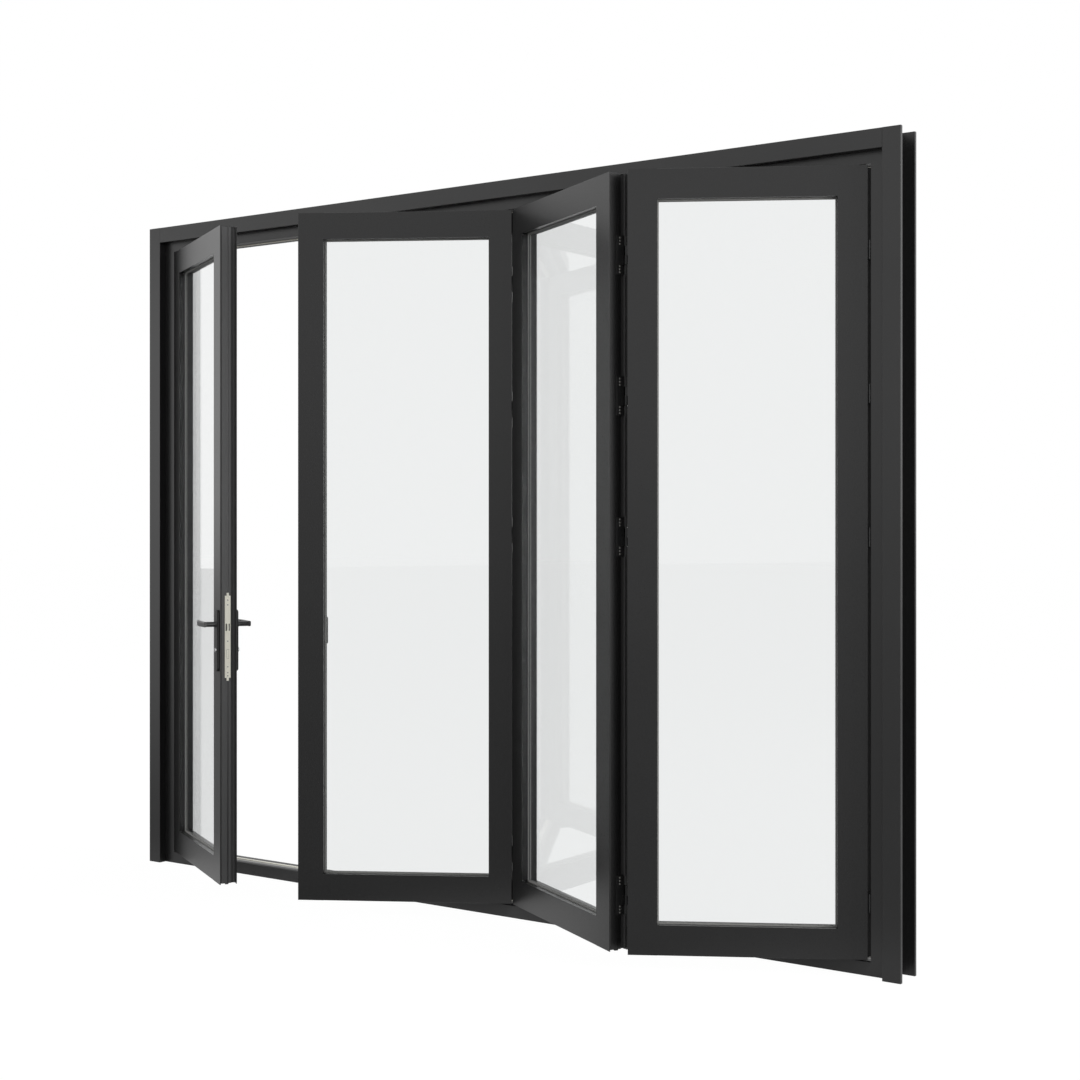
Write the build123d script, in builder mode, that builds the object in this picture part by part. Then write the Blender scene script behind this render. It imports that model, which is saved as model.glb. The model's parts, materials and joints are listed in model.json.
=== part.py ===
from build123d import *
import math
import os

# Bifold patio door: one hinged access leaf and three folding leaves in an aluminium frame.
# Millimetres. X runs along the frame, Y into the building, Z up.
# The origin is under the sill, at mid width and mid depth of the frame.

os.makedirs("parts", exist_ok=True)

# Frame
frame_width = 3080
frame_height = 2438
frame_depth = 115
casing_width = 57
flange_thickness = 12
inner_face_setback = 30
jamb_sight = 104
head_sight = 92.5
channel_depth = 45
sill_height = 43
sill_nose_width = 5
sill_nose_drop = 3
track_width = 36
track_depth = 7
track_setback = 72.5
track_slot_width = 9
track_slot_depth = 5
frame_edge_radius = 1.5

# Leaves
leaf_count = 4
meeting_space = 42.4
access_leaf_trim = 10.75
folding_leaf_trim = 4.75
leaf_thickness = 60
leaf_clearance = 5
leaf_face_setback = 25
open_angle = 30
stile_width = 86
hinge_stile_width = 75
rail_width = 88
outer_lip = 2.5
seal_groove_width = 3.5
seal_groove_depth = 5
land_setback = 2
land_end = 39
land_groove_start = 25
land_groove_width = 5
land_groove_depth = 1
end_notch_depth = 4
seal_recess_depth = 8
inner_lip = 2.5
leaf_edge_radius = 1

# Glazing
front_reveal = 24
glass_thickness = 10
glass_bite = 12
gasket_width = 4
gasket_thickness = 3.5

# Hinges
barrel_radius = 4.5
pin_radius = 2.2
pin_clearance = 0.1
pin_cover = 3
pin_end_gap = 1
hinge_inset = 6.5
leaf_hinge_gap = 5.5
jamb_hinge_gap = 4.8
hinge_plate_height = 115
hinge_plate_depth = 26
hinge_plate_inset = 12
jamb_plate_thickness = 2.5
hinge_proud = 0.3
knuckle_height = 27.5
knuckle_gap = 0.4
web_thickness = 3.6
web_lap = 7
bottom_hinge_height = 163
top_hinge_drop = 243.5
upper_hinge_pitch = 415

# Lever handle and lock
lever_height = 953
lever_backset = 24
spindle_side = 8
spindle_hole_radius = 7
escutcheon_height = 214
escutcheon_width = 32
escutcheon_thickness = 8
escutcheon_above_lever = 50
escutcheon_corner_radius = 12
escutcheon_rim_chamfer = 2
lever_reach = 54
lever_grip_length = 112
lever_grip_height = 19
lever_grip_thickness = 11
lever_straight_length = 80
lever_end_drop = 7
lever_bend_radius = 28
lever_corner_radius = 4.5
neck_radius = 9
collar_radius = 11
collar_height = 4
collar_taper = 12
lever_running_gap = 0.3
cylinder_drop = 90
cylinder_radius = 8
cylinder_clearance = 0.2
cylinder_proud = 5
cylinder_chamfer = 1
key_slot_width = 1.6
faceplate_height = 286
faceplate_width = 20
faceplate_thickness = 2.5
faceplate_corner_radius = 1
faceplate_centre = 27
faceplate_below_lever = 43
tab_width = 8
tab_height = 10
latch_drop = 10
latch_height = 25
latch_slot_width = 5
latch_bar_width = 5
latch_throw = 4
deadbolt_drop = 103
deadbolt_width = 7
deadbolt_height = 32
deadbolt_corner_radius = 3
deadbolt_throw = 0.8

# Shoot-bolt handle on the inside of the free leaf
bolt_handle_height = 944
bolt_handle_centre = 71
bolt_base_height = 98
bolt_base_width = 30
bolt_base_thickness = 8
bolt_grip_length = 94
bolt_grip_width = 28
bolt_grip_thickness = 10
bolt_base_corner_radius = 9
bolt_grip_corner_radius = 7
bolt_grip_rim_chamfer = 2
bolt_post_radius = 8
bolt_post_length = 8

# Carrier and guide at the joint that runs in the track
bracket_height = 70
bracket_seat_gap = 0.3
bracket_back = 10
bracket_end_gap = 1
guide_pin_radius = 4
guide_pin_length = 8

# Derived places
half_width = frame_width / 2
front_y = -frame_depth / 2
back_y = frame_depth / 2
inner_y = front_y + inner_face_setback
jamb_side = half_width - jamb_sight
head_underside = frame_height - head_sight
leaf_bottom = sill_height + leaf_clearance
leaf_height = head_underside - leaf_clearance - leaf_bottom
hinge_axis_y = front_y + leaf_face_setback + hinge_inset
track_y = front_y + track_setback

# The leaves share the clear width: what the gaps leave is divided between them.
hinge_gaps = 2 * (jamb_hinge_gap + leaf_hinge_gap) + 4 * leaf_hinge_gap
leaf_room = 2 * jamb_side - hinge_gaps - meeting_space
average_leaf_width = leaf_room / leaf_count
access_leaf_width = average_leaf_width - access_leaf_trim
folding_leaf_width = average_leaf_width - folding_leaf_trim
free_leaf_width = leaf_room - access_leaf_width - 2 * folding_leaf_width

# One hinge near the foot, three near the head, above the leaf's bottom edge
top_hinge_height = leaf_height - top_hinge_drop
hinge_heights = (
    bottom_hinge_height,
    top_hinge_height - 2 * upper_hinge_pitch,
    top_hinge_height - upper_hinge_pitch,
    top_hinge_height,
)


def direction(angle):
    return Vector(math.cos(math.radians(angle)), math.sin(math.radians(angle)), 0)


def inward(angle):
    return Vector(-math.sin(math.radians(angle)), math.cos(math.radians(angle)), 0)


# Leaf corners, worked out from joint to joint. Each corner is the left, outside, bottom one.
swung_out = -open_angle
swung_in = open_angle

jamb_joint = Vector(jamb_side - jamb_hinge_gap, hinge_axis_y, leaf_bottom)
leaf_4_corner = (
    jamb_joint
    - direction(swung_in) * (folding_leaf_width + leaf_hinge_gap)
    - inward(swung_in) * hinge_inset
)
fold_joint = (
    leaf_4_corner
    - direction(swung_in) * leaf_hinge_gap
    + inward(swung_in) * (leaf_thickness - hinge_inset)
)
leaf_3_corner = (
    fold_joint
    - direction(swung_out) * (folding_leaf_width + leaf_hinge_gap)
    - inward(swung_out) * (leaf_thickness - hinge_inset)
)
track_joint = (
    leaf_3_corner - direction(swung_out) * leaf_hinge_gap + inward(swung_out) * hinge_inset
)
leaf_2_corner = (
    track_joint
    - direction(swung_in) * (free_leaf_width + leaf_hinge_gap)
    - inward(swung_in) * hinge_inset
)
access_joint = Vector(-jamb_side + jamb_hinge_gap, hinge_axis_y, leaf_bottom)
leaf_1_corner = (
    access_joint + direction(swung_out) * leaf_hinge_gap - inward(swung_out) * hinge_inset
)

# Name, corner, angle, width, left stile, right stile
leaves = (
    ("leaf_1", leaf_1_corner, swung_out, access_leaf_width, stile_width, stile_width),
    ("leaf_2", leaf_2_corner, swung_in, free_leaf_width, stile_width, hinge_stile_width),
    ("leaf_3", leaf_3_corner, swung_out, folding_leaf_width, hinge_stile_width, stile_width),
    ("leaf_4", leaf_4_corner, swung_in, folding_leaf_width, stile_width, stile_width),
)

finished = []


def keep(part, label):
    part.label = label
    export_step(part, "parts/" + label + ".step")
    finished.append(part)


def leaf_point(corner, angle, along, depth, height):
    return corner + direction(angle) * along + inward(angle) * depth + Vector(0, 0, height)


# Frame members
def frame_section(sight):
    """Section of a jamb or head: distance from the outer edge, then depth from the front."""
    return (
        (0, 0),
        (casing_width, 0),
        (casing_width, inner_face_setback),
        (sight, inner_face_setback),
        (sight, frame_depth),
        (0, frame_depth),
        (0, frame_depth - flange_thickness),
        (channel_depth, frame_depth - flange_thickness),
        (channel_depth, flange_thickness),
        (0, flange_thickness),
    )


def jamb_section_on(plane):
    with BuildSketch(plane) as section:
        with BuildLine():
            Polyline(*frame_section(jamb_sight), close=True)
        make_face()
        exposed = section.vertices().filter_by(
            lambda corner: corner.Y < 0.01 or corner.Y > frame_depth - 0.01
        )
        fillet(exposed, radius=frame_edge_radius)
    return section.sketch


def make_jambs():
    left_plane = Plane(origin=(-half_width, front_y, 0), x_dir=(1, 0, 0), z_dir=(0, 0, 1))
    with BuildPart() as left:
        extrude(jamb_section_on(left_plane), amount=frame_height)
    keep(left.part, "left_jamb")
    right_plane = Plane(
        origin=(half_width, front_y, frame_height), x_dir=(-1, 0, 0), z_dir=(0, 0, -1)
    )
    with BuildPart() as right:
        extrude(jamb_section_on(right_plane), amount=frame_height)
    keep(right.part, "right_jamb")


def make_head():
    body_half = jamb_side
    casing_half = half_width - casing_width
    middle = Plane(origin=(0, front_y, frame_height), x_dir=(0, 0, -1), z_dir=(1, 0, 0))
    with BuildPart() as head:
        with BuildSketch(middle):
            with BuildLine():
                Polyline(*frame_section(head_sight), close=True)
            make_face()
        extrude(amount=body_half, both=True)
        with BuildSketch(middle):
            with BuildLine():
                Polyline(
                    (0, 0),
                    (casing_width, 0),
                    (casing_width, inner_face_setback),
                    (channel_depth, inner_face_setback),
                    (channel_depth, flange_thickness),
                    (0, flange_thickness),
                    close=True,
                )
            make_face()
        extrude(amount=casing_half, both=True)
        front_edges = head.edges().filter_by(Axis.X).group_by(Axis.Y)[0]
        fillet(front_edges, radius=frame_edge_radius)
        with Locations((0, track_y, head_underside + track_depth / 2)):
            Box(2 * body_half, track_width, track_depth, mode=Mode.SUBTRACT)
    keep(head.part, "head_frame")


def make_sill():
    sill_length = 2 * jamb_side
    sill_front = inner_y
    end_plane = Plane(origin=(-jamb_side, sill_front, 0), x_dir=(0, 1, 0), z_dir=(1, 0, 0))
    sill_depth = back_y - sill_front
    with BuildPart() as sill:
        with BuildSketch(end_plane):
            with BuildLine():
                Polyline(
                    (0, 0),
                    (sill_depth, 0),
                    (sill_depth, sill_height),
                    (sill_nose_width, sill_height),
                    (0, sill_height - sill_nose_drop),
                    close=True,
                )
            make_face()
        extrude(amount=sill_length)
        with Locations((0, track_y, sill_height - track_depth / 2)):
            Box(sill_length, track_width, track_depth, mode=Mode.SUBTRACT)
    keep(sill.part, "sill")


def make_track(label, low_z, slot_up):
    slot_z = low_z + track_depth - track_slot_depth / 2 if slot_up else low_z + track_slot_depth / 2
    with BuildPart() as track:
        with Locations((0, track_y, low_z + track_depth / 2)):
            Box(2 * jamb_side, track_width, track_depth)
        with Locations((0, track_y, slot_z)):
            Box(2 * jamb_side, track_slot_width, track_slot_depth, mode=Mode.SUBTRACT)
    keep(track.part, label)


# Leaf members
def member_section(plane, width):
    """Section of a stile or rail: distance from the leaf's edge, then depth from outside."""
    groove_end = outer_lip + seal_groove_width
    recess_end = leaf_thickness - inner_lip
    land_groove_end = land_groove_start + land_groove_width
    land_groove_floor = land_setback + land_groove_depth
    with BuildSketch(plane) as section:
        with BuildLine():
            Polyline(
                (0, 0),
                (width, 0),
                (width, leaf_thickness),
                (0, leaf_thickness),
                (0, recess_end),
                (seal_recess_depth, recess_end),
                (seal_recess_depth, land_end),
                (land_setback, land_end),
                (land_setback, land_groove_end),
                (land_groove_floor, land_groove_end),
                (land_groove_floor, land_groove_start),
                (land_setback, land_groove_start),
                (land_setback, groove_end),
                (seal_groove_depth, groove_end),
                (seal_groove_depth, outer_lip),
                (0, outer_lip),
                close=True,
            )
        make_face()
        outer_edge = section.vertices().group_by(Axis.X)[0].sort_by(Axis.Y)
        fillet([outer_edge[0], outer_edge[-1]], radius=leaf_edge_radius)
    return section.sketch


def glass_pocket(corner, angle, left_stile, glass_width, glass_height):
    """Cut the pocket that the glass sits in."""
    middle = leaf_point(
        corner,
        angle,
        left_stile - glass_bite + glass_width / 2,
        front_reveal + glass_thickness / 2,
        rail_width - glass_bite + glass_height / 2,
    )
    pane_plane = Plane(origin=middle, x_dir=direction(angle), z_dir=inward(angle))
    with BuildSketch(pane_plane) as outline:
        Rectangle(glass_width, glass_height)
    extrude(outline.sketch, amount=glass_thickness / 2, both=True, mode=Mode.SUBTRACT)


def notch_ends(corner, angle, along, width):
    """Cut both ends of a stile back between its outer and inner lips."""
    notch_width = leaf_thickness - outer_lip - inner_lip
    for height in (0, leaf_height - end_notch_depth):
        middle = leaf_point(corner, angle, along + width / 2, leaf_thickness / 2, height)
        with BuildSketch(Plane(origin=middle, x_dir=direction(angle))) as outline:
            Rectangle(width, notch_width)
        extrude(outline.sketch, amount=end_notch_depth, mode=Mode.SUBTRACT)


def make_leaf(name, corner, angle, width, left_stile, right_stile):
    along = direction(angle)
    glass_width = width - left_stile - right_stile + 2 * glass_bite
    glass_height = leaf_height - 2 * rail_width + 2 * glass_bite
    pocket = (corner, angle, left_stile, glass_width, glass_height)
    lever_point = leaf_point(
        corner, angle, width - lever_backset, 0, lever_height - leaf_bottom
    )

    left_plane = Plane(origin=corner, x_dir=along, z_dir=(0, 0, 1))
    with BuildPart() as left:
        extrude(member_section(left_plane, left_stile), amount=leaf_height)
        notch_ends(corner, angle, 0, left_stile)
        glass_pocket(*pocket)
    keep(left.part, name + "_left_stile")

    right_top = leaf_point(corner, angle, width, 0, leaf_height)
    right_plane = Plane(origin=right_top, x_dir=along * -1, z_dir=(0, 0, -1))
    with BuildPart() as right:
        extrude(member_section(right_plane, right_stile), amount=leaf_height)
        notch_ends(corner, angle, width - right_stile, right_stile)
        glass_pocket(*pocket)
        if name == "leaf_1":
            lock_holes(lever_point, angle, leaf_thickness)
    keep(right.part, name + "_right_stile")

    rail_length = width - left_stile - right_stile
    bottom_end = leaf_point(corner, angle, width - right_stile, 0, 0)
    bottom_plane = Plane(origin=bottom_end, x_dir=(0, 0, 1), z_dir=along * -1)
    with BuildPart() as bottom:
        extrude(member_section(bottom_plane, rail_width), amount=rail_length)
        glass_pocket(*pocket)
    keep(bottom.part, name + "_bottom_rail")

    top_end = leaf_point(corner, angle, left_stile, 0, leaf_height)
    top_plane = Plane(origin=top_end, x_dir=(0, 0, -1), z_dir=along)
    with BuildPart() as top:
        extrude(member_section(top_plane, rail_width), amount=rail_length)
        glass_pocket(*pocket)
    keep(top.part, name + "_top_rail")

    pane_middle = leaf_point(
        corner, angle, left_stile - glass_bite + glass_width / 2, front_reveal, leaf_height / 2
    )
    pane_plane = Plane(origin=pane_middle, x_dir=along, z_dir=inward(angle))
    with BuildPart() as glass:
        with BuildSketch(pane_plane):
            Rectangle(glass_width, glass_height)
        extrude(amount=glass_thickness)
    keep(glass.part, name + "_glass")

    sight_width = glass_width - 2 * glass_bite
    sight_height = glass_height - 2 * glass_bite
    with BuildPart() as gaskets:
        for depth, growth in ((0, -gasket_thickness), (glass_thickness, gasket_thickness)):
            with BuildSketch(pane_plane.offset(depth)):
                Rectangle(sight_width, sight_height)
                Rectangle(
                    sight_width - 2 * gasket_width,
                    sight_height - 2 * gasket_width,
                    mode=Mode.SUBTRACT,
                )
            extrude(amount=growth)
    keep(gaskets.part, name + "_gaskets")


# Hinges: a lower half with the pin, and an upper half that is bored for it
def hinge_plane(axis, side, depth_way, low_z, high_z):
    upright = side.cross(depth_way)
    level = low_z if upright.Z > 0 else high_z
    return Plane(origin=(axis.X, axis.Y, level), x_dir=side, z_dir=upright)


def add_plate(axis, side, depth_way, on_jamb, low_z, high_z):
    gap = jamb_hinge_gap if on_jamb else leaf_hinge_gap
    near = gap - jamb_plate_thickness if on_jamb else gap - hinge_proud
    far = gap if on_jamb else gap + land_setback
    middle = hinge_plate_inset - hinge_inset + hinge_plate_depth / 2
    with BuildSketch(hinge_plane(axis, side, depth_way, low_z, high_z)) as outline:
        with Locations(((near + far) / 2, middle)):
            Rectangle(far - near, hinge_plate_depth)
    extrude(outline.sketch, amount=high_z - low_z)


def add_knuckle(axis, side, depth_way, on_jamb, low_z, high_z):
    gap = jamb_hinge_gap if on_jamb else leaf_hinge_gap
    web_far = gap - hinge_proud
    web_length = hinge_plate_inset - hinge_inset + web_lap
    with BuildSketch(hinge_plane(axis, side, depth_way, low_z, high_z)) as outline:
        Circle(barrel_radius)
        with Locations((web_far - web_thickness / 2, web_length / 2)):
            Rectangle(web_thickness, web_length)
    extrude(outline.sketch, amount=high_z - low_z)


def lower_half(axis, side, depth_way, on_jamb, middle_z):
    half_plate = hinge_plate_height / 2
    low = middle_z - knuckle_height
    pin_top = middle_z + knuckle_height - pin_cover - pin_end_gap
    add_plate(axis, side, depth_way, on_jamb, middle_z - half_plate, middle_z + half_plate)
    add_knuckle(axis, side, depth_way, on_jamb, low, middle_z - knuckle_gap / 2)
    with BuildSketch(Plane.XY.offset(low)) as pin:
        with Locations((axis.X, axis.Y)):
            Circle(pin_radius)
    extrude(pin.sketch, amount=pin_top - low)


def upper_half(axis, side, depth_way, on_jamb, middle_z):
    half_plate = hinge_plate_height / 2
    high = middle_z + knuckle_height
    add_plate(axis, side, depth_way, on_jamb, middle_z - half_plate, middle_z + half_plate)
    add_knuckle(axis, side, depth_way, on_jamb, middle_z + knuckle_gap / 2, high)
    with BuildSketch(Plane.XY.offset(middle_z)) as bore:
        with Locations((axis.X, axis.Y)):
            Circle(pin_radius + pin_clearance)
    extrude(bore.sketch, amount=knuckle_height - pin_cover, mode=Mode.SUBTRACT)


def hinge_row(label, make_half, axis, side, depth_way, on_jamb):
    halves = []
    for height in hinge_heights:
        with BuildPart() as half:
            make_half(axis, side, depth_way, on_jamb, leaf_bottom + height)
        halves.append(half.part.solid())
    keep(Part() + halves, label)


def make_hinges():
    out_way = direction(swung_out)
    in_way = direction(swung_in)
    out_depth = inward(swung_out)
    in_depth = inward(swung_in)
    across = Vector(1, 0, 0)
    deeper = Vector(0, 1, 0)
    hinge_row("leaf_1_jamb_hinges", lower_half, access_joint, across * -1, deeper, True)
    hinge_row("leaf_1_hinges", upper_half, access_joint, out_way, out_depth, False)
    hinge_row("leaf_2_hinges", upper_half, track_joint, in_way * -1, in_depth, False)
    hinge_row("leaf_3_track_hinges", lower_half, track_joint, out_way, out_depth, False)
    hinge_row("leaf_3_fold_hinges", lower_half, fold_joint, out_way * -1, out_depth * -1, False)
    hinge_row("leaf_4_fold_hinges", upper_half, fold_joint, in_way, in_depth * -1, False)
    hinge_row("leaf_4_hinges", upper_half, jamb_joint, in_way * -1, in_depth, False)
    hinge_row("leaf_4_jamb_hinges", lower_half, jamb_joint, across, deeper, True)


# Lever handles and lock on the access leaf
def lock_holes(lever_point, angle, depth):
    """Holes for the spindle and the lock cylinder, through to the given depth."""
    face = Plane(origin=lever_point, x_dir=direction(angle), z_dir=inward(angle))
    up = 1 if face.y_dir.Z > 0 else -1
    with BuildSketch(face) as holes:
        Circle(spindle_hole_radius)
        with Locations((0, -up * cylinder_drop)):
            Circle(cylinder_radius + cylinder_clearance)
    extrude(holes.sketch, amount=depth, mode=Mode.SUBTRACT)


def make_escutcheon(label, lever_point, outward):
    middle = lever_point + Vector(0, 0, escutcheon_above_lever - escutcheon_height / 2)
    across = outward.cross(Vector(0, 0, 1))
    plate_plane = Plane(origin=middle, x_dir=across, z_dir=outward)
    hole_plane = Plane(origin=lever_point, x_dir=across, z_dir=outward)
    drop = Vector(0, 0, -cylinder_drop)
    drop_y = drop.dot(hole_plane.y_dir)
    with BuildPart() as plate:
        with BuildSketch(plate_plane):
            RectangleRounded(escutcheon_width, escutcheon_height, escutcheon_corner_radius)
        extrude(amount=escutcheon_thickness)
        outer_rim = plate.faces().sort_by(Axis(middle, outward))[-1].edges()
        chamfer(outer_rim, length=escutcheon_rim_chamfer)
        with BuildSketch(hole_plane):
            Circle(spindle_hole_radius)
            with Locations((0, drop_y)):
                Circle(cylinder_radius + cylinder_clearance)
        extrude(amount=escutcheon_thickness, mode=Mode.SUBTRACT)
    keep(plate.part, label)


def make_lever(label, lever_point, outward, toward_hinge):
    start = lever_point + outward * (escutcheon_thickness + lever_running_gap)
    route_plane = Plane(origin=start, x_dir=toward_hinge, z_dir=toward_hinge.cross(outward))
    neck_plane = Plane(origin=start, x_dir=toward_hinge, z_dir=outward)
    rise = lever_reach - escutcheon_thickness - lever_running_gap - lever_grip_thickness / 2
    grip_start = start + outward * rise
    with BuildPart() as lever:
        with BuildSketch(neck_plane):
            Circle(collar_radius)
        extrude(amount=collar_height, taper=collar_taper)
        with BuildSketch(neck_plane):
            Circle(neck_radius)
        extrude(amount=rise)
        with BuildLine(route_plane) as route:
            FilletPolyline(
                (-neck_radius, rise),
                (lever_straight_length, rise),
                (lever_grip_length, rise - lever_end_drop),
                radius=lever_bend_radius,
            )
        grip_end = grip_start - toward_hinge * neck_radius
        with BuildSketch(Plane(origin=grip_end, x_dir=(0, 0, 1), z_dir=toward_hinge)):
            RectangleRounded(lever_grip_height, lever_grip_thickness, lever_corner_radius)
        sweep(path=route.line)
    keep(lever.part, label)


def make_lock():
    name, corner, angle, width, left_stile, right_stile = leaves[0]
    outside_point = leaf_point(
        corner, angle, width - lever_backset, 0, lever_height - leaf_bottom
    )
    inside_point = outside_point + inward(angle) * leaf_thickness
    outward = inward(angle) * -1
    toward_hinge = direction(angle) * -1
    make_escutcheon("outer_escutcheon", outside_point, outward)
    make_escutcheon("inner_escutcheon", inside_point, inward(angle))
    make_lever("outer_lever", outside_point, outward, toward_hinge)
    make_lever("inner_lever", inside_point, inward(angle), toward_hinge)

    reach = escutcheon_thickness + lever_running_gap
    spindle_start = outside_point + outward * reach
    with BuildPart() as spindle:
        with BuildSketch(Plane(origin=spindle_start, x_dir=(0, 0, 1), z_dir=inward(angle))):
            Rectangle(spindle_side, spindle_side)
        extrude(amount=leaf_thickness + 2 * reach)
    keep(spindle.part, "lever_spindle")

    cylinder_start = outside_point + outward * (escutcheon_thickness + cylinder_proud)
    cylinder_start = cylinder_start - Vector(0, 0, cylinder_drop)
    cylinder_length = leaf_thickness + 2 * (escutcheon_thickness + cylinder_proud)
    with BuildPart() as cylinder:
        with BuildSketch(Plane(origin=cylinder_start, x_dir=(0, 0, 1), z_dir=inward(angle))):
            Circle(cylinder_radius)
        extrude(amount=cylinder_length)
        rims = cylinder.edges().filter_by(GeomType.CIRCLE)
        chamfer(rims, length=cylinder_chamfer)
        with BuildSketch(Plane(origin=cylinder_start, x_dir=(0, 0, 1), z_dir=inward(angle))):
            Rectangle(cylinder_radius, key_slot_width)
        extrude(amount=cylinder_proud, mode=Mode.SUBTRACT)
    keep(cylinder.part, "lock_cylinder")

    plate_middle = leaf_point(
        corner,
        angle,
        width - land_setback,
        faceplate_centre,
        lever_height - leaf_bottom - faceplate_below_lever,
    )
    edge_plane = Plane(origin=plate_middle, x_dir=inward(angle), z_dir=direction(angle))
    up = 1 if edge_plane.y_dir.Z > 0 else -1
    latch_y = up * (faceplate_below_lever - latch_drop)
    deadbolt_y = up * (faceplate_below_lever - deadbolt_drop)
    slot_offset = (latch_bar_width + latch_slot_width) / 2
    with BuildPart() as plate:
        with BuildSketch(edge_plane):
            RectangleRounded(faceplate_width, faceplate_height, faceplate_corner_radius)
            Rectangle(tab_width, faceplate_height + 2 * tab_height)
            with Locations((-slot_offset, latch_y), (slot_offset, latch_y)):
                Rectangle(latch_slot_width, latch_height, mode=Mode.SUBTRACT)
        extrude(amount=faceplate_thickness)
        with BuildSketch(edge_plane):
            with Locations((0, latch_y)):
                Rectangle(latch_bar_width, latch_height)
        extrude(amount=faceplate_thickness + latch_throw)
        with BuildSketch(edge_plane):
            with Locations((0, deadbolt_y)):
                RectangleRounded(deadbolt_width, deadbolt_height, deadbolt_corner_radius)
        extrude(amount=faceplate_thickness + deadbolt_throw)
    keep(plate.part, "lock_faceplate")


def make_strike():
    name, corner, angle, width, left_stile, right_stile = leaves[1]
    plate_middle = leaf_point(
        corner,
        angle,
        land_setback,
        faceplate_centre,
        lever_height - leaf_bottom - faceplate_below_lever,
    )
    edge_plane = Plane(origin=plate_middle, x_dir=inward(angle), z_dir=direction(angle) * -1)
    up = 1 if edge_plane.y_dir.Z > 0 else -1
    latch_y = up * (faceplate_below_lever - latch_drop)
    deadbolt_y = up * (faceplate_below_lever - deadbolt_drop)
    latch_hole_width = latch_bar_width + 2 * latch_slot_width
    with BuildPart() as strike:
        with BuildSketch(edge_plane):
            RectangleRounded(faceplate_width, faceplate_height, faceplate_corner_radius)
            with Locations((0, latch_y)):
                Rectangle(latch_hole_width, latch_height, mode=Mode.SUBTRACT)
            with Locations((0, deadbolt_y)):
                Rectangle(deadbolt_width, deadbolt_height, mode=Mode.SUBTRACT)
        extrude(amount=faceplate_thickness)
    keep(strike.part, "strike_plate")


def make_bolt_handle():
    name, corner, angle, width, left_stile, right_stile = leaves[1]
    seat = leaf_point(
        corner, angle, bolt_handle_centre, leaf_thickness, bolt_handle_height - leaf_bottom
    )
    face = Plane(origin=seat, x_dir=direction(angle) * -1, z_dir=inward(angle))
    with BuildPart() as handle:
        with BuildSketch(face):
            RectangleRounded(bolt_base_width, bolt_base_height, bolt_base_corner_radius)
        extrude(amount=bolt_base_thickness)
        with BuildSketch(face.offset(bolt_base_thickness)):
            Circle(bolt_post_radius)
        extrude(amount=bolt_post_length)
        grip_level = bolt_base_thickness + bolt_post_length
        with BuildSketch(face.offset(grip_level)):
            RectangleRounded(bolt_grip_width, bolt_grip_length, bolt_grip_corner_radius)
        extrude(amount=bolt_grip_thickness)
        top_rim = handle.faces().sort_by(Axis(seat, inward(angle)))[-1].edges()
        chamfer(top_rim, length=bolt_grip_rim_chamfer)
    keep(handle.part, "shoot_bolt_handle")


# Roller carrier and guide, in the wedge between the leaves that meet at the track
def make_bracket(label, low_z, pin_low):
    lip_depth = leaf_thickness - inner_lip
    lips = []
    for depth in (lip_depth, leaf_thickness):
        edge = leaf_point(leaf_3_corner, swung_out, 0, depth, 0)
        half = edge.X - track_joint.X - bracket_seat_gap / math.cos(math.radians(open_angle))
        lips.append((half, edge.Y))
    (front_half, front_edge), (back_half, back_edge) = lips
    back_line = max(track_y + bracket_back, back_edge + bracket_end_gap)
    with BuildPart() as bracket:
        with BuildSketch(Plane.XY.offset(low_z)):
            with BuildLine():
                Polyline(
                    (track_joint.X - front_half, front_edge),
                    (track_joint.X + front_half, front_edge),
                    (track_joint.X + back_half, back_edge),
                    (track_joint.X + front_half, back_line),
                    (track_joint.X - front_half, back_line),
                    (track_joint.X - back_half, back_edge),
                    close=True,
                )
            make_face()
        extrude(amount=bracket_height)
        with BuildSketch(Plane.XY.offset(pin_low)):
            with Locations((track_joint.X, track_y)):
                Circle(guide_pin_radius)
        extrude(amount=guide_pin_length)
    keep(bracket.part, label)


make_jambs()
make_head()
make_sill()
make_track("sill_track", sill_height - track_depth, True)
make_track("head_track", head_underside, False)
for leaf in leaves:
    make_leaf(*leaf)
make_hinges()
make_lock()
make_strike()
make_bolt_handle()
make_bracket("bottom_guide", leaf_bottom, leaf_bottom - guide_pin_length)
top_level = leaf_bottom + leaf_height
make_bracket("top_carrier", top_level - bracket_height, top_level)

model = Compound(label="bifold_patio_door", children=finished)
print("axis of the access leaf", access_joint, "leaf height", leaf_height)
print("corners", leaf_1_corner, leaf_2_corner, leaf_3_corner, leaf_4_corner)
print("joints", track_joint, fold_joint, jamb_joint)
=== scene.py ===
import json
import math

import bmesh
import bpy
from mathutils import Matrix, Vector


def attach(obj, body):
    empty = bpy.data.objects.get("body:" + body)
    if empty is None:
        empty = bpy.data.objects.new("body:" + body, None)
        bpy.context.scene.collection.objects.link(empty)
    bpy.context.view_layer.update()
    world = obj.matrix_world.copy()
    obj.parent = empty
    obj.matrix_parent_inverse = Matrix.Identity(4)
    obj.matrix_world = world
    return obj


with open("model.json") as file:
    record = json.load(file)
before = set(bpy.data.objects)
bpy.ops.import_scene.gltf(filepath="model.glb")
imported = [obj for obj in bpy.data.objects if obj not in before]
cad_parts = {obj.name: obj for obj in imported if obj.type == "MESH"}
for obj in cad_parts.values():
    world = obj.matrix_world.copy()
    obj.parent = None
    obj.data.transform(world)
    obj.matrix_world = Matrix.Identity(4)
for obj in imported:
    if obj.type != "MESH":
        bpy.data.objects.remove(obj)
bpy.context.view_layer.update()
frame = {"nodes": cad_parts, "record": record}
nodes = frame["nodes"]
print("frame loaded:", len(nodes), "nodes")

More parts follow.
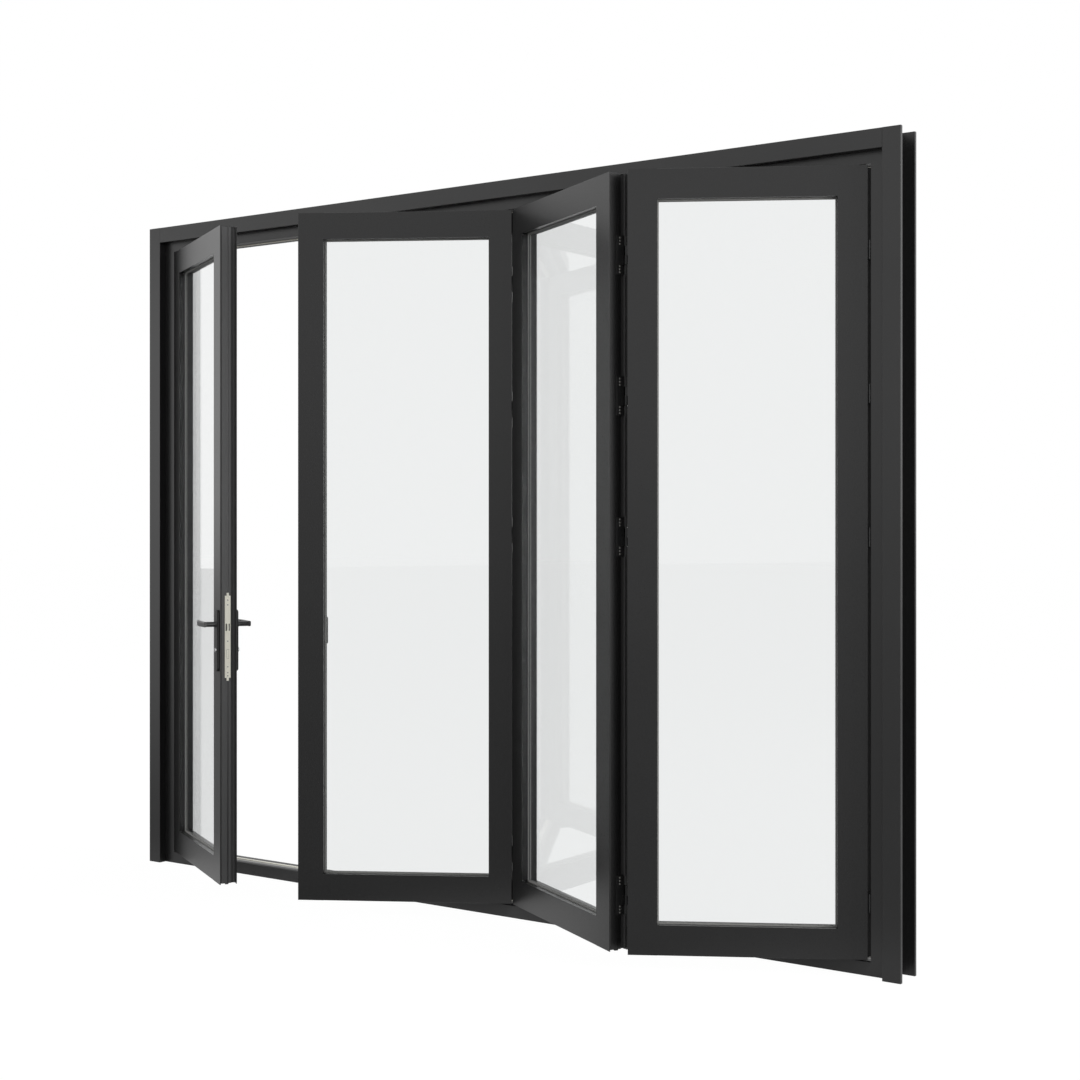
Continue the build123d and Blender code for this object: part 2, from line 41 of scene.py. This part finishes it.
# camera, taken from the photo's perspective
cameraView = {
    "place": (3.4697, -4.6305, 1.3186),
    "turn": 34.77,        # degrees to the left of straight on
    "focalPixels": 1713,
    "horizonRow": 519.3,
    "picture": 1080,
    "sensor": 36.0,
    "farthest": 100,
}


def makeCamera(v):
    data = bpy.data.cameras.new("doorCamera")
    data.sensor_width = v["sensor"]
    data.lens = v["focalPixels"] / v["picture"] * v["sensor"]
    data.shift_y = -(v["picture"] / 2 - v["horizonRow"]) / v["picture"]
    data.clip_end = v["farthest"]
    camera = bpy.data.objects.new("doorCamera", data)
    camera.location = v["place"]
    camera.rotation_euler = (math.radians(90), 0, math.radians(v["turn"]))
    bpy.context.scene.collection.objects.link(camera)
    bpy.context.scene.camera = camera


makeCamera(cameraView)
print("camera set")


# node helpers; a socket takes either a value or another node's output
def addNode(tree, kind, sockets=None, **settings):
    node = tree.nodes.new(kind)
    for setting, value in settings.items():
        setattr(node, setting, value)
    for key, value in (sockets or {}).items():
        if isinstance(value, bpy.types.NodeSocket):
            tree.links.new(value, node.inputs[key])
        else:
            node.inputs[key].default_value = value
    return node


def addMath(tree, operation, *values):
    node = addNode(tree, "ShaderNodeMath", dict(enumerate(values)), operation=operation)
    return node.outputs["Value"]


def addVectorMath(tree, operation, *values):
    node = addNode(tree, "ShaderNodeVectorMath", dict(enumerate(values)), operation=operation)
    return node.outputs["Value" if operation == "LENGTH" else "Vector"]


def newMaterial(name):
    mat = bpy.data.materials.new(name)
    mat.use_nodes = True
    mat.node_tree.nodes.clear()
    return mat, mat.node_tree


noiseRange = (0.3, 0.7)     # nearly all of a noise lies between these


def spreadNoise(tree, noise, low, high):
    ramp = addNode(tree, "ShaderNodeMapRange", {
        "Value": noise, "From Min": noiseRange[0], "From Max": noiseRange[1], "To Min": low, "To Max": high,
    })
    return ramp.outputs["Result"]


def addNoise(tree, coords, scale, detail, roughness):
    noise = addNode(tree, "ShaderNodeTexNoise", {
        "Vector": coords.outputs["Object"], "Scale": scale, "Detail": detail, "Roughness": roughness,
    })
    return noise.outputs["Fac"]


def mixColours(tree, share, first, second):
    mix = addNode(tree, "ShaderNodeMix", {"Factor": share, "A": first, "B": second}, data_type="RGBA")
    return mix.outputs["Result"]


def addBump(tree, height, strength, distance):
    bump = addNode(tree, "ShaderNodeBump", {"Height": height, "Strength": strength, "Distance": distance})
    return bump.outputs["Normal"]


# satin powder coat: a fine orange-peel skin with a slow drift of colour and gloss
paintValues = {
    "frame": {"dark": (0.0105, 0.0105, 0.0107), "pale": (0.0140, 0.0140, 0.0143),
              "rough": (0.29, 0.36), "shine": 0.57, "peel": 0.12},
    "leaf": {"dark": (0.0062, 0.0062, 0.0064), "pale": (0.0088, 0.0088, 0.0090),
             "rough": (0.27, 0.33), "shine": 0.51, "peel": 0.12},
    "sill": {"dark": (0.028, 0.028, 0.0285), "pale": (0.036, 0.036, 0.0365),
             "rough": (0.46, 0.54), "shine": 0.40, "peel": 0.12},
    "hinge": {"dark": (0.010, 0.010, 0.0103), "pale": (0.015, 0.015, 0.0153),
              "rough": (0.32, 0.40), "shine": 0.55, "peel": 0.05},
    "handle": {"dark": (0.014, 0.014, 0.0142), "pale": (0.019, 0.019, 0.0193),
               "rough": (0.28, 0.34), "shine": 0.55, "peel": 0.04},
    "backplate": {"dark": (0.008, 0.008, 0.0082), "pale": (0.012, 0.012, 0.0123),
                  "rough": (0.36, 0.44), "shine": 0.30, "peel": 0.04},
    "edgeStrip": {"dark": (0.034, 0.034, 0.0345), "pale": (0.044, 0.044, 0.0445),
                  "rough": (0.36, 0.44), "shine": 0.55, "peel": 0.12},
}
paintGrain = {
    "drift": (3.5, 3.0, 0.6),       # noise scale, detail and roughness
    "speck": (420.0, 2.0, 0.55),
    "peel": (900.0, 2.0, 0.5),
    "driftShare": (0.05, 0.6),      # how far the drift and the specks pull from dark to pale
    "speckShare": 0.35,
    "peelDepth": 0.0003,
}


def paintFinish(name, v, grain):
    mat, tree = newMaterial(name)
    coords = addNode(tree, "ShaderNodeTexCoord")
    drift, speck, peel = [addNoise(tree, coords, *grain[kind]) for kind in ("drift", "speck", "peel")]
    drifted = spreadNoise(tree, drift, *grain["driftShare"])
    share = addMath(tree, "MULTIPLY_ADD", speck, grain["speckShare"], drifted)
    shader = addNode(tree, "ShaderNodeBsdfPrincipled", {
        "Base Color": mixColours(tree, share, (*v["dark"], 1), (*v["pale"], 1)),
        "Roughness": spreadNoise(tree, speck, *v["rough"]),
        "Specular IOR Level": v["shine"],
        "Normal": addBump(tree, peel, v["peel"], grain["peelDepth"]),
    })
    addNode(tree, "ShaderNodeOutputMaterial", {"Surface": shader.outputs["BSDF"]})
    return mat


# plain materials with a grain: metal, rubber and plastic
plainValues = {
    "gasket": {"colour": (0.200, 0.199, 0.192), "vary": 0.12, "rough": 0.55, "metal": 0.0, "grain": 160.0},
    "lock_plate": {"colour": (0.90, 0.872, 0.755), "vary": 0.06, "rough": 0.42, "metal": 0.0, "grain": 500.0},
    "lock_steel": {"colour": (0.55, 0.55, 0.56), "vary": 0.08, "rough": 0.28, "metal": 1.0, "grain": 800.0},
    "headTrack": {"colour": (0.90, 0.87, 0.75), "vary": 0.06, "rough": 0.45, "metal": 0.0, "grain": 300.0,
                  "lip": (0.016, 0.016, 0.016), "lipEdge": 0.015},
    "track": {"colour": (0.88, 0.855, 0.76), "vary": 0.06, "rough": 0.45, "metal": 0.0, "grain": 300.0,
              "lip": (0.30, 0.296, 0.285), "lipEdge": 0.015},
    "guide": {"colour": (0.028, 0.028, 0.029), "vary": 0.2, "rough": 0.5, "metal": 0.0, "grain": 300.0},
    "seal": {"colour": (0.040, 0.040, 0.040), "vary": 0.25, "rough": 0.7, "metal": 0.0, "grain": 240.0},
    "screw": {"colour": (0.34, 0.335, 0.32), "vary": 0.10, "rough": 0.38, "metal": 1.0, "grain": 900.0},
    "slotDark": {"colour": (0.012, 0.011, 0.008), "vary": 0.2, "rough": 0.6, "metal": 0.0, "grain": 300.0},
}
plainGrain = {"detail": 3.0, "roughness": 0.6, "gloss": 0.05, "bump": 0.08, "depth": 0.0002}


def plainFinish(name, v, grain):
    mat, tree = newMaterial(name)
    coords = addNode(tree, "ShaderNodeTexCoord")
    speck = addNoise(tree, coords, v["grain"], grain["detail"], grain["roughness"])
    low = [c * (1 - v["vary"]) for c in v["colour"]]
    high = [min(1, c * (1 + v["vary"])) for c in v["colour"]]
    colour = mixColours(tree, speck, (*low, 1), (*high, 1))
    if "lip" in v:      # the tracks are darker in front of their slot
        place = addNode(tree, "ShaderNodeSeparateXYZ", {"Vector": coords.outputs["Object"]})
        behind = addMath(tree, "GREATER_THAN", place.outputs["Y"], v["lipEdge"])
        colour = mixColours(tree, behind, (*v["lip"], 1), colour)
    shader = addNode(tree, "ShaderNodeBsdfPrincipled", {
        "Base Color": colour,
        "Metallic": v["metal"],
        "Roughness": spreadNoise(tree, speck, v["rough"] - grain["gloss"], v["rough"] + grain["gloss"]),
        "Normal": addBump(tree, speck, grain["bump"], grain["depth"]),
    })
    addNode(tree, "ShaderNodeOutputMaterial", {"Surface": shader.outputs["BSDF"]})
    return mat


# clear glass with a faint grey-green tint; lamps shine through it
glassValues = {"tint": (0.846, 0.858, 0.857, 1), "shadow": (0.86, 0.87, 0.87, 1), "ior": 1.45, "rough": 0.01}


def glassFinish(name, v):
    mat, tree = newMaterial(name)
    clear = addNode(tree, "ShaderNodeBsdfPrincipled", {
        "Base Color": v["tint"], "Roughness": v["rough"], "IOR": v["ior"], "Transmission Weight": 1.0,
    })
    seeThrough = addNode(tree, "ShaderNodeBsdfTransparent", {"Color": v["shadow"]})
    path = addNode(tree, "ShaderNodeLightPath")
    either = addMath(tree, "MAXIMUM", path.outputs["Is Shadow Ray"], path.outputs["Is Diffuse Ray"])
    mix = addNode(tree, "ShaderNodeMixShader", {
        "Fac": either, 1: clear.outputs["BSDF"], 2: seeThrough.outputs["BSDF"],
    })
    addNode(tree, "ShaderNodeOutputMaterial", {"Surface": mix.outputs["Shader"]})
    return mat


finishes = {name: paintFinish(name + "Paint", v, paintGrain) for name, v in paintValues.items()}
finishes.update({name: plainFinish(name + "Finish", v, plainGrain) for name, v in plainValues.items()})
finishes["glass"] = glassFinish("paneGlass", glassValues)

# these nodes have a finish of their own, apart from their slot's
ownFinish = {
    "sill": "sill", "head_track": "headTrack",
    "outer_escutcheon": "backplate", "inner_escutcheon": "backplate",
}
slotOf = {s["node"]: s["material_slot"] for s in frame["record"]["subparts"]}
for nodeName, obj in nodes.items():
    mat = finishes[ownFinish.get(nodeName, slotOf[nodeName])]
    if not obj.material_slots:
        obj.data.materials.append(mat)
    for slot in obj.material_slots:
        slot.material = mat
print("finishes given to the CAD nodes")


# where the leaves stand: outside bottom left corner, turn about the vertical, width
leafPlaces = {
    "leaf_1": {"corner": (-1.42969, -0.03438), "turn": -30, "width": 0.686, "body": "access_leaf"},
    "leaf_2": {"corner": (-0.45589, -0.39288), "turn": 30, "width": 0.717, "body": "frame"},
    "leaf_3": {"corner": (0.16808, -0.03438), "turn": -30, "width": 0.692, "body": "frame"},
    "leaf_4": {"corner": (0.83040, -0.38038), "turn": 30, "width": 0.692, "body": "frame"},
}
leafSizes = {"bottom": 0.048, "height": 2.2925, "thickness": 0.060}
freeEdges = (("leaf_1", "right"), ("leaf_2", "left"))       # the two edges that meet at the lock
hingeSizes = {
    "heights": (0.163, 1.219, 1.634, 2.049),    # above the leaf's bottom edge
    "halfPlate": 0.0575,
    "halfKnuckle": 0.0275,
    "screwDepth": 0.025,    # plate middle, in from the pivot's side of the leaf
    "jambFace": 1.4335,     # face of the plates on the jambs, out from the middle of the door
    "jambDepth": -0.0075,
    "air": 0.001,
}


# a point on a leaf's edge: out from the edge, depth from outside, height above the leaf's bottom
def edgePoint(leafName, side, out, depth, height):
    place = leafPlaces[leafName]
    turn = math.radians(place["turn"])
    along = place["width"] + out if side == "right" else -out
    x = place["corner"][0] + along * math.cos(turn) - depth * math.sin(turn)
    y = place["corner"][1] + along * math.sin(turn) + depth * math.cos(turn)
    return Vector((x, y, leafSizes["bottom"] + height))


def outWay(leafName, side):
    turn = math.radians(leafPlaces[leafName]["turn"])
    sign = 1 if side == "right" else -1
    return Vector((sign * math.cos(turn), sign * math.sin(turn), 0))


def bridgeRings(bm, one, other):
    count = len(one)
    for k in range(count):
        bm.faces.new((one[k], one[(k + 1) % count], other[(k + 1) % count], other[k]))


# a bar along a leaf's edge, with an outline of (out, depth) pairs
def addEdgeBar(bm, leafName, side, outline, low, length):
    ring = [edgePoint(leafName, side, out, depth, low) for out, depth in outline]
    bottom = [bm.verts.new(spot) for spot in ring]
    top = [bm.verts.new(spot + Vector((0, 0, length))) for spot in ring]
    bridgeRings(bm, bottom, top)
    bm.faces.new(list(reversed(bottom)))
    bm.faces.new(top)


def boxOutline(inner, outer, start, end):
    return [(inner, start), (outer, start), (outer, end), (inner, end)]


def arcPoints(centre, radius, fromAngle, toAngle, steps):
    points = []
    for k in range(steps + 1):
        angle = math.radians(fromAngle + (toAngle - fromAngle) * k / steps)
        points.append((centre[0] + radius * math.cos(angle), centre[1] + radius * math.sin(angle)))
    return points


def finishPiece(name, bm, body, finish, smoothAngle=None):
    bmesh.ops.recalc_face_normals(bm, faces=bm.faces)
    mesh = bpy.data.meshes.new(name)
    bm.to_mesh(mesh)
    bm.free()
    piece = bpy.data.objects.new(name, mesh)
    bpy.context.scene.collection.objects.link(piece)
    mesh.materials.append(finishes[finish])
    if smoothAngle:
        mesh.shade_smooth()
        mesh.set_sharp_from_angle(angle=math.radians(smoothAngle))
    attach(piece, body)
    return piece


def edgeTag(leafName, side=None):
    tag = leafName.replace("_", "")
    return tag if side is None else tag + "_" + side


# rubber edge seals: outlines are (out from the edge, depth from outside)
sealSizes = {
    "endGap": 0.0045,
    "recessFloor": -0.0079,
    "recessStart": 0.0393,
    "recessEnd": 0.0572,
    "ribTop": -0.0035,
    "ribFoot": -0.0055,
    "ribs": 3,
    "ribShares": (0.08, 0.30, 0.70, 0.92),      # foot, top, top and foot of a rib, as shares of the pitch
    "bulbRadius": 0.0038,
    "bulbTurn": 80,
    "bulbNeck": 0.003,
    "outsideBulb": {"depth": 0.0480, "reach": 0.0026},      # by the side on which the leaf's hinges pivot
    "insideBulb": {"depth": 0.0505, "reach": 0.0050},
    "grooveFloor": -0.0049,
    "grooveTop": -0.0022,
    "grooveStart": 0.0028,
    "grooveEnd": 0.0057,
    "apexRadius": 0.0034,
    "apexReach": 0.0052,
    "apexDepth": 0.0530,
    "apexStart": 0.0492,
    "apexEnd": 0.0565,
    "apexTurn": (-75, 60),
    "smooth": 40,
}


def ribbedOutline(s):
    ribs = []
    pitch = (s["recessEnd"] - s["recessStart"]) / s["ribs"]
    for k in range(s["ribs"]):
        start = s["recessStart"] + k * pitch
        for out, share in zip((s["ribFoot"], s["ribTop"], s["ribTop"], s["ribFoot"]), s["ribShares"]):
            ribs.append((out, start + share * pitch))
    return [(s["recessFloor"], s["recessStart"])] + ribs + [(s["recessFloor"], s["recessEnd"])]


def bulbOutline(s, bulb):
    foot, radius, depth = s["ribFoot"], s["bulbRadius"], bulb["depth"]
    arc = arcPoints((bulb["reach"] - radius, depth), radius, -s["bulbTurn"], s["bulbTurn"], 10)
    return (
        [(s["recessFloor"], s["recessStart"]), (foot, s["recessStart"])]
        + [(foot, depth - s["bulbNeck"])] + arc + [(foot, depth + s["bulbNeck"])]
        + [(foot, s["recessEnd"]), (s["recessFloor"], s["recessEnd"])]
    )


def grooveOutline(s):
    middle = (s["grooveStart"] + s["grooveEnd"]) / 2
    radius = (s["grooveEnd"] - s["grooveStart"]) / 2
    arc = arcPoints((s["grooveTop"], middle), radius, -90, 90, 6)
    return [(s["grooveFloor"], s["grooveStart"])] + arc + [(s["grooveFloor"], s["grooveEnd"])]


def apexOutline(s):
    radius = s["apexRadius"]
    arc = arcPoints((s["apexReach"] - radius, s["apexDepth"]), radius, *s["apexTurn"], 8)
    root = [(s["recessFloor"], s["apexStart"]), (s["ribFoot"], s["apexStart"])]
    return root + arc + [(s["recessFloor"], s["apexEnd"])]


# a flap that closes the open side of the last leaf; its root is cut back over the hinge plates
finSizes = {
    "root": -0.0022, "rootOnPlate": 0.0005, "reach": 0.0125,
    "start": 0.0192, "end": 0.0206, "tip": 0.0003,
}


def finOutline(s, root):
    return [
        (root, s["start"]), (s["reach"], s["start"] + s["tip"]),
        (s["reach"], s["end"] - s["tip"]), (root, s["end"]),
    ]


def makeSeal(name, leafName, side, outline, spans):
    bm = bmesh.new()
    for low, high in spans:
        addEdgeBar(bm, leafName, side, outline, low, high - low)
    return finishPiece(name, bm, leafPlaces[leafName]["body"], "seal", sealSizes["smooth"])


def spansBetween(low, high, stops, halfGap):
    spans = []
    start = low
    for stop in stops:
        if stop - halfGap > start:
            spans.append((start, min(stop - halfGap, high)))
        start = max(start, stop + halfGap)
    if high > start:
        spans.append((start, high))
    return spans


# each leaf edge: the side on which its hinges pivot, or None on the two free edges
edgeKinds = {
    ("leaf_1", "left"): "outside", ("leaf_1", "right"): None,
    ("leaf_2", "left"): None, ("leaf_2", "right"): "outside",
    ("leaf_3", "left"): "outside", ("leaf_3", "right"): "inside",
    ("leaf_4", "left"): "inside", ("leaf_4", "right"): "outside",
}


def makeEdgeSeals(s, fin, h):
    low = s["endGap"]
    high = leafSizes["height"] - s["endGap"]
    clearOfPlates = h["halfPlate"] + h["air"]
    clearOfKnuckles = h["halfKnuckle"] + h["air"]
    whole = [(low, high)]
    betweenPlates = spansBetween(low, high, h["heights"], clearOfPlates)
    overPlates = [(height - clearOfPlates, height + clearOfPlates) for height in h["heights"]]
    besideKnuckles = []
    for height in h["heights"]:
        besideKnuckles.append((height - clearOfPlates, height - clearOfKnuckles))
        besideKnuckles.append((height + clearOfKnuckles, height + clearOfPlates))
    for (leafName, side), pivot in edgeKinds.items():
        tag = edgeTag(leafName, side)
        makeSeal(tag + "_outerSeal", leafName, side, grooveOutline(s), whole)
        if pivot is None:
            makeSeal(tag + "_innerSeal", leafName, side, ribbedOutline(s), whole)
        elif pivot == "outside":
            makeSeal(tag + "_innerSeal", leafName, side, bulbOutline(s, s["outsideBulb"]), whole)
        else:
            makeSeal(tag + "_innerSeal", leafName, side, bulbOutline(s, s["insideBulb"]), betweenPlates)
            makeSeal(tag + "_hingeSeal", leafName, side, apexOutline(s), besideKnuckles)
    makeSeal("leaf4_right_finSeal", "leaf_4", "right", finOutline(fin, fin["root"]), betweenPlates)
    makeSeal("leaf4_right_finOverPlates", "leaf_4", "right", finOutline(fin, fin["rootOnPlate"]), overPlates)


makeEdgeSeals(sealSizes, finSizes, hingeSizes)
print("edge seals made")


# paler cover strips on the two free edges, either side of the shallow groove
coverSizes = {
    "floor": -0.0020, "top": -0.0016,
    "bands": ((0.0064, 0.0248), (0.0302, 0.0387)),
    "besidePlate": ((0.0064, 0.0168), (0.0373, 0.0387)),
    "endGap": 0.0045,
    "plateLow": 0.7075, "plateHigh": 1.0165,
}


def makeCoverStrips(s):
    top = leafSizes["height"] - s["endGap"]
    runs = (
        (s["endGap"], s["plateLow"], s["bands"]),
        (s["plateHigh"], top, s["bands"]),
        (s["plateLow"], s["plateHigh"], s["besidePlate"]),
    )
    for leafName, side in freeEdges:
        bm = bmesh.new()
        for low, high, bands in runs:
            for start, end in bands:
                outline = boxOutline(s["floor"], s["top"], start, end)
                addEdgeBar(bm, leafName, side, outline, low, high - low)
        body = leafPlaces[leafName]["body"]
        finishPiece(edgeTag(leafName) + "_coverStrip", bm, body, "edgeStrip")


makeCoverStrips(coverSizes)


# end guides under and over each leaf edge, between the lips
guideSizes = {
    "below": {"start": 0.0194, "end": 0.0306, "inner": -0.0110, "outer": -0.0035,
              "rise": 0.0002, "height": 0.0038},
    "above": {"start": 0.0030, "end": 0.0565, "inner": -0.0110, "outer": -0.0030,
              "rise": 2.2885, "height": 0.0030},
}


def makeEndGuides(s):
    for leafName, side in edgeKinds:
        bm = bmesh.new()
        for v in s.values():
            outline = boxOutline(v["inner"], v["outer"], v["start"], v["end"])
            addEdgeBar(bm, leafName, side, outline, v["rise"], v["height"])
        body = leafPlaces[leafName]["body"]
        finishPiece(edgeTag(leafName, side) + "_endGuides", bm, body, "guide")


makeEndGuides(guideSizes)
print("cover strips and end guides made")


# hex-socket screws: a low crowned head with a sunk socket
screwSizes = {
    "radius": 0.0032, "height": 0.0011, "crown": 0.0024, "socket": 0.0014, "sink": 0.0009,
    "shoulder": 0.6,        # share of the head's height that keeps the full radius
    "sides": 18, "smooth": 30,
    "heights": (-0.0510, -0.0420, -0.0330, 0.0330, 0.0420, 0.0510),     # from the middle of a hinge
    "face": 0.0003,         # face of the hinge plates, out from the leaf's edge
}


def addScrew(bm, foot, way, v, scale=1.0):
    across = way.cross(Vector((0, 0, 1))).normalized()
    upright = across.cross(way)
    rings = []
    profile = (
        (v["radius"], 0.0), (v["radius"], v["height"] * v["shoulder"]), (v["crown"], v["height"]),
        (v["socket"], v["height"]), (v["socket"], v["height"] - v["sink"]),
    )
    for radius, rise in profile:
        ring = []
        for k in range(v["sides"]):
            angle = 2 * math.pi * k / v["sides"]
            spot = across * math.cos(angle) + upright * math.sin(angle)
            ring.append(bm.verts.new(foot + spot * radius * scale + way * rise * scale))
        rings.append(ring)
    for outer, inner in zip(rings, rings[1:]):
        bridgeRings(bm, outer, inner)
    bm.faces.new(rings[-1])
    bm.faces.new(list(reversed(rings[0])))


def makeHingeScrews(v, h):
    shells = {"access_leaf": bmesh.new(), "frame": bmesh.new()}
    for (leafName, side), pivot in edgeKinds.items():
        if pivot is None:
            continue
        depth = h["screwDepth"] if pivot == "outside" else leafSizes["thickness"] - h["screwDepth"]
        bm = shells[leafPlaces[leafName]["body"]]
        for height in h["heights"]:
            for step in v["heights"]:
                foot = edgePoint(leafName, side, v["face"], depth, height + step)
                addScrew(bm, foot, outWay(leafName, side), v)
    for side in (-1, 1):
        for height in h["heights"]:
            for step in v["heights"]:
                foot = Vector((side * h["jambFace"], h["jambDepth"], leafSizes["bottom"] + height + step))
                addScrew(shells["frame"], foot, Vector((-side, 0, 0)), v)
    for body, bm in shells.items():
        finishPiece(body + "_hingeScrews", bm, body, "screw", v["smooth"])


makeHingeScrews(screwSizes, hingeSizes)


# screws in the lock plate and the strike plate
plateScrews = {
    "heights": (1.0375, 1.0209, 0.8945, 0.8054, 0.7850, 0.7743),    # above the floor
    "depth": 0.027, "face": 0.0005, "scale": 0.72,
}


def makePlateScrews(s, v):
    for leafName, side in freeEdges:
        bm = bmesh.new()
        for height in s["heights"]:
            foot = edgePoint(leafName, side, s["face"], s["depth"], height - leafSizes["bottom"])
            addScrew(bm, foot, outWay(leafName, side), v, s["scale"])
        body = leafPlaces[leafName]["body"]
        finishPiece(edgeTag(leafName) + "_plateScrews", bm, body, "screw", v["smooth"])


makePlateScrews(plateScrews, screwSizes)
print("screws made")


# the dark joint line round the deadbolt
seamSizes = {
    "height": 0.850,    # above the floor
    "depth": 0.027, "halfWide": 0.0036, "halfHigh": 0.0161, "corner": 0.0031,
    "width": 0.0006, "face": 0.0004, "proud": 0.0006,
}


def roundedLoop(halfWide, halfHigh, corner, steps=5):
    points = []
    for x, y, start in ((1, 1, 0), (-1, 1, 90), (-1, -1, 180), (1, -1, 270)):
        centre = (x * (halfWide - corner), y * (halfHigh - corner))
        points += arcPoints(centre, corner, start, start + 90, steps)
    return points


def makeDeadboltSeam(s):
    bm = bmesh.new()
    middle = s["height"] - leafSizes["bottom"]
    rings = []
    for extra, out in ((0, s["face"]), (0, s["proud"]), (s["width"], s["proud"]), (s["width"], s["face"])):
        loop = roundedLoop(s["halfWide"] + extra, s["halfHigh"] + extra, s["corner"] + extra)
        spots = [edgePoint("leaf_1", "right", out, s["depth"] + x, middle + y) for x, y in loop]
        rings.append([bm.verts.new(spot) for spot in spots])
    for one, other in zip(rings, rings[1:] + rings[:1]):
        bridgeRings(bm, one, other)
    finishPiece("leaf1_deadboltSeam", bm, "access_leaf", "slotDark")


makeDeadboltSeam(seamSizes)
print("deadbolt's joint line made")


# light: a small key lamp at the left, a soft lamp at the right, two boxes that the paint mirrors
lampValues = {
    "keyLamp": {"place": (-9.5, -8.0, 4.5), "size": (1.2, 1.2), "power": 380.0, "mirrored": False},
    "sideLamp": {"place": (8.0, 1.0, 2.6), "size": (2.5, 2.5), "power": 680.0, "mirrored": False},
    "leftBox": {"place": (-4.6, -3.6, 1.25), "size": (3.4, 3.3), "power": 21.0},
    "rightBox": {"place": (6.0, -1.4, 1.6), "size": (3.4, 3.2), "power": 85.0, "throughGlass": True},
}
lampTarget = (0.0, -0.1, 1.2)


def makeLamp(name, v):
    data = bpy.data.lights.new(name, "AREA")
    data.shape = "RECTANGLE"
    data.size, data.size_y = v["size"]
    data.energy = v["power"]
    lamp = bpy.data.objects.new(name, data)
    lamp.location = v["place"]
    aim = Vector(lampTarget) - Vector(v["place"])
    lamp.rotation_euler = aim.to_track_quat("-Z", "Y").to_euler()
    lamp.visible_glossy = v.get("mirrored", True)
    lamp.visible_camera = False
    lamp.visible_transmission = v.get("throughGlass", False)
    bpy.context.scene.collection.objects.link(lamp)


# camera, mirror and glass rays meet white surroundings, each by its share
def raysThatSeeWhite(tree, shares):
    path = addNode(tree, "ShaderNodeLightPath")
    seen = None
    for ray, share in shares.items():
        part = addMath(tree, "MULTIPLY", path.outputs[ray], share)
        seen = part if seen is None else addMath(tree, "MAXIMUM", seen, part)
    return seen


worldValues = {
    "level": 0.60, "white": 1.0,
    "whiteShares": {"Is Camera Ray": 1.0, "Is Glossy Ray": 1.0, "Is Transmission Ray": 1.0},
}


def makeWorld(v):
    world = bpy.data.worlds.new("studio")
    bpy.context.scene.world = world
    world.use_nodes = True
    tree = world.node_tree
    tree.nodes.clear()
    level = addNode(tree, "ShaderNodeMapRange", {
        "Value": raysThatSeeWhite(tree, v["whiteShares"]), "To Min": v["level"], "To Max": v["white"],
    })
    back = addNode(tree, "ShaderNodeBackground", {
        "Color": (1, 1, 1, 1), "Strength": level.outputs["Result"],
    })
    addNode(tree, "ShaderNodeOutputWorld", {"Surface": back.outputs["Background"]})


# pale matt floor that shows as the white surroundings and still takes the object's shadow
floorValues = {
    "halfSize": 40.0, "colour": 0.29, "whiteLevel": 1.09,
    "whiteShares": {"Is Camera Ray": 0.9, "Is Glossy Ray": 0.12, "Is Transmission Ray": 0.9},
    # near...: where and how strongly the floor glows for mirror rays round the object, a painted reflection
    # in the paint
    "nearHalf": (0.9, 0.24, 0.0), "nearStretch": (1.0, 4.0, 1.0), "nearReach": 1.4, "nearShare": 0.75,
}


# painted reflection: close round the object the floor glows white for mirror rays only, so the paint mirrors
# a floor paler than the floor far off
def mirroredNearby(tree, v):
    coords = addNode(tree, "ShaderNodeTexCoord")
    offset = addVectorMath(tree, "ABSOLUTE", coords.outputs["Object"])
    beyond = addVectorMath(tree, "SUBTRACT", offset, v["nearHalf"])
    kept = addVectorMath(tree, "MAXIMUM", beyond)
    stretched = addVectorMath(tree, "MULTIPLY", kept, v["nearStretch"])
    near = addNode(tree, "ShaderNodeMapRange", {
        "Value": addVectorMath(tree, "LENGTH", stretched),
        "From Max": v["nearReach"], "To Min": v["nearShare"], "To Max": 0.0,
    })
    path = addNode(tree, "ShaderNodeLightPath")
    return addMath(tree, "MULTIPLY", near.outputs["Result"], path.outputs["Is Glossy Ray"])


def makeFloor(v):
    mesh = bpy.data.meshes.new("studioFloor")
    far = v["halfSize"]
    mesh.from_pydata([(-far, -far, 0), (far, -far, 0), (far, far, 0), (-far, far, 0)], [], [(0, 1, 2, 3)])
    floor = bpy.data.objects.new("studioFloor", mesh)
    bpy.context.scene.collection.objects.link(floor)
    mat, tree = newMaterial("paleFloor")
    matt = addNode(tree, "ShaderNodeBsdfDiffuse", {"Color": (v["colour"], v["colour"], v["colour"], 1)})
    glow = addNode(tree, "ShaderNodeEmission", {"Strength": v["whiteLevel"]})
    white = addMath(tree, "MAXIMUM", raysThatSeeWhite(tree, v["whiteShares"]), mirroredNearby(tree, v))
    mix = addNode(tree, "ShaderNodeMixShader", {
        "Fac": white, 1: matt.outputs["BSDF"], 2: glow.outputs["Emission"],
    })
    addNode(tree, "ShaderNodeOutputMaterial", {"Surface": mix.outputs["Shader"]})
    mesh.materials.append(mat)


makeWorld(worldValues)
for lampName, values in lampValues.items():
    makeLamp(lampName, values)
makeFloor(floorValues)
bpy.context.scene.view_settings.view_transform = "Standard"
print("lights and floor set")
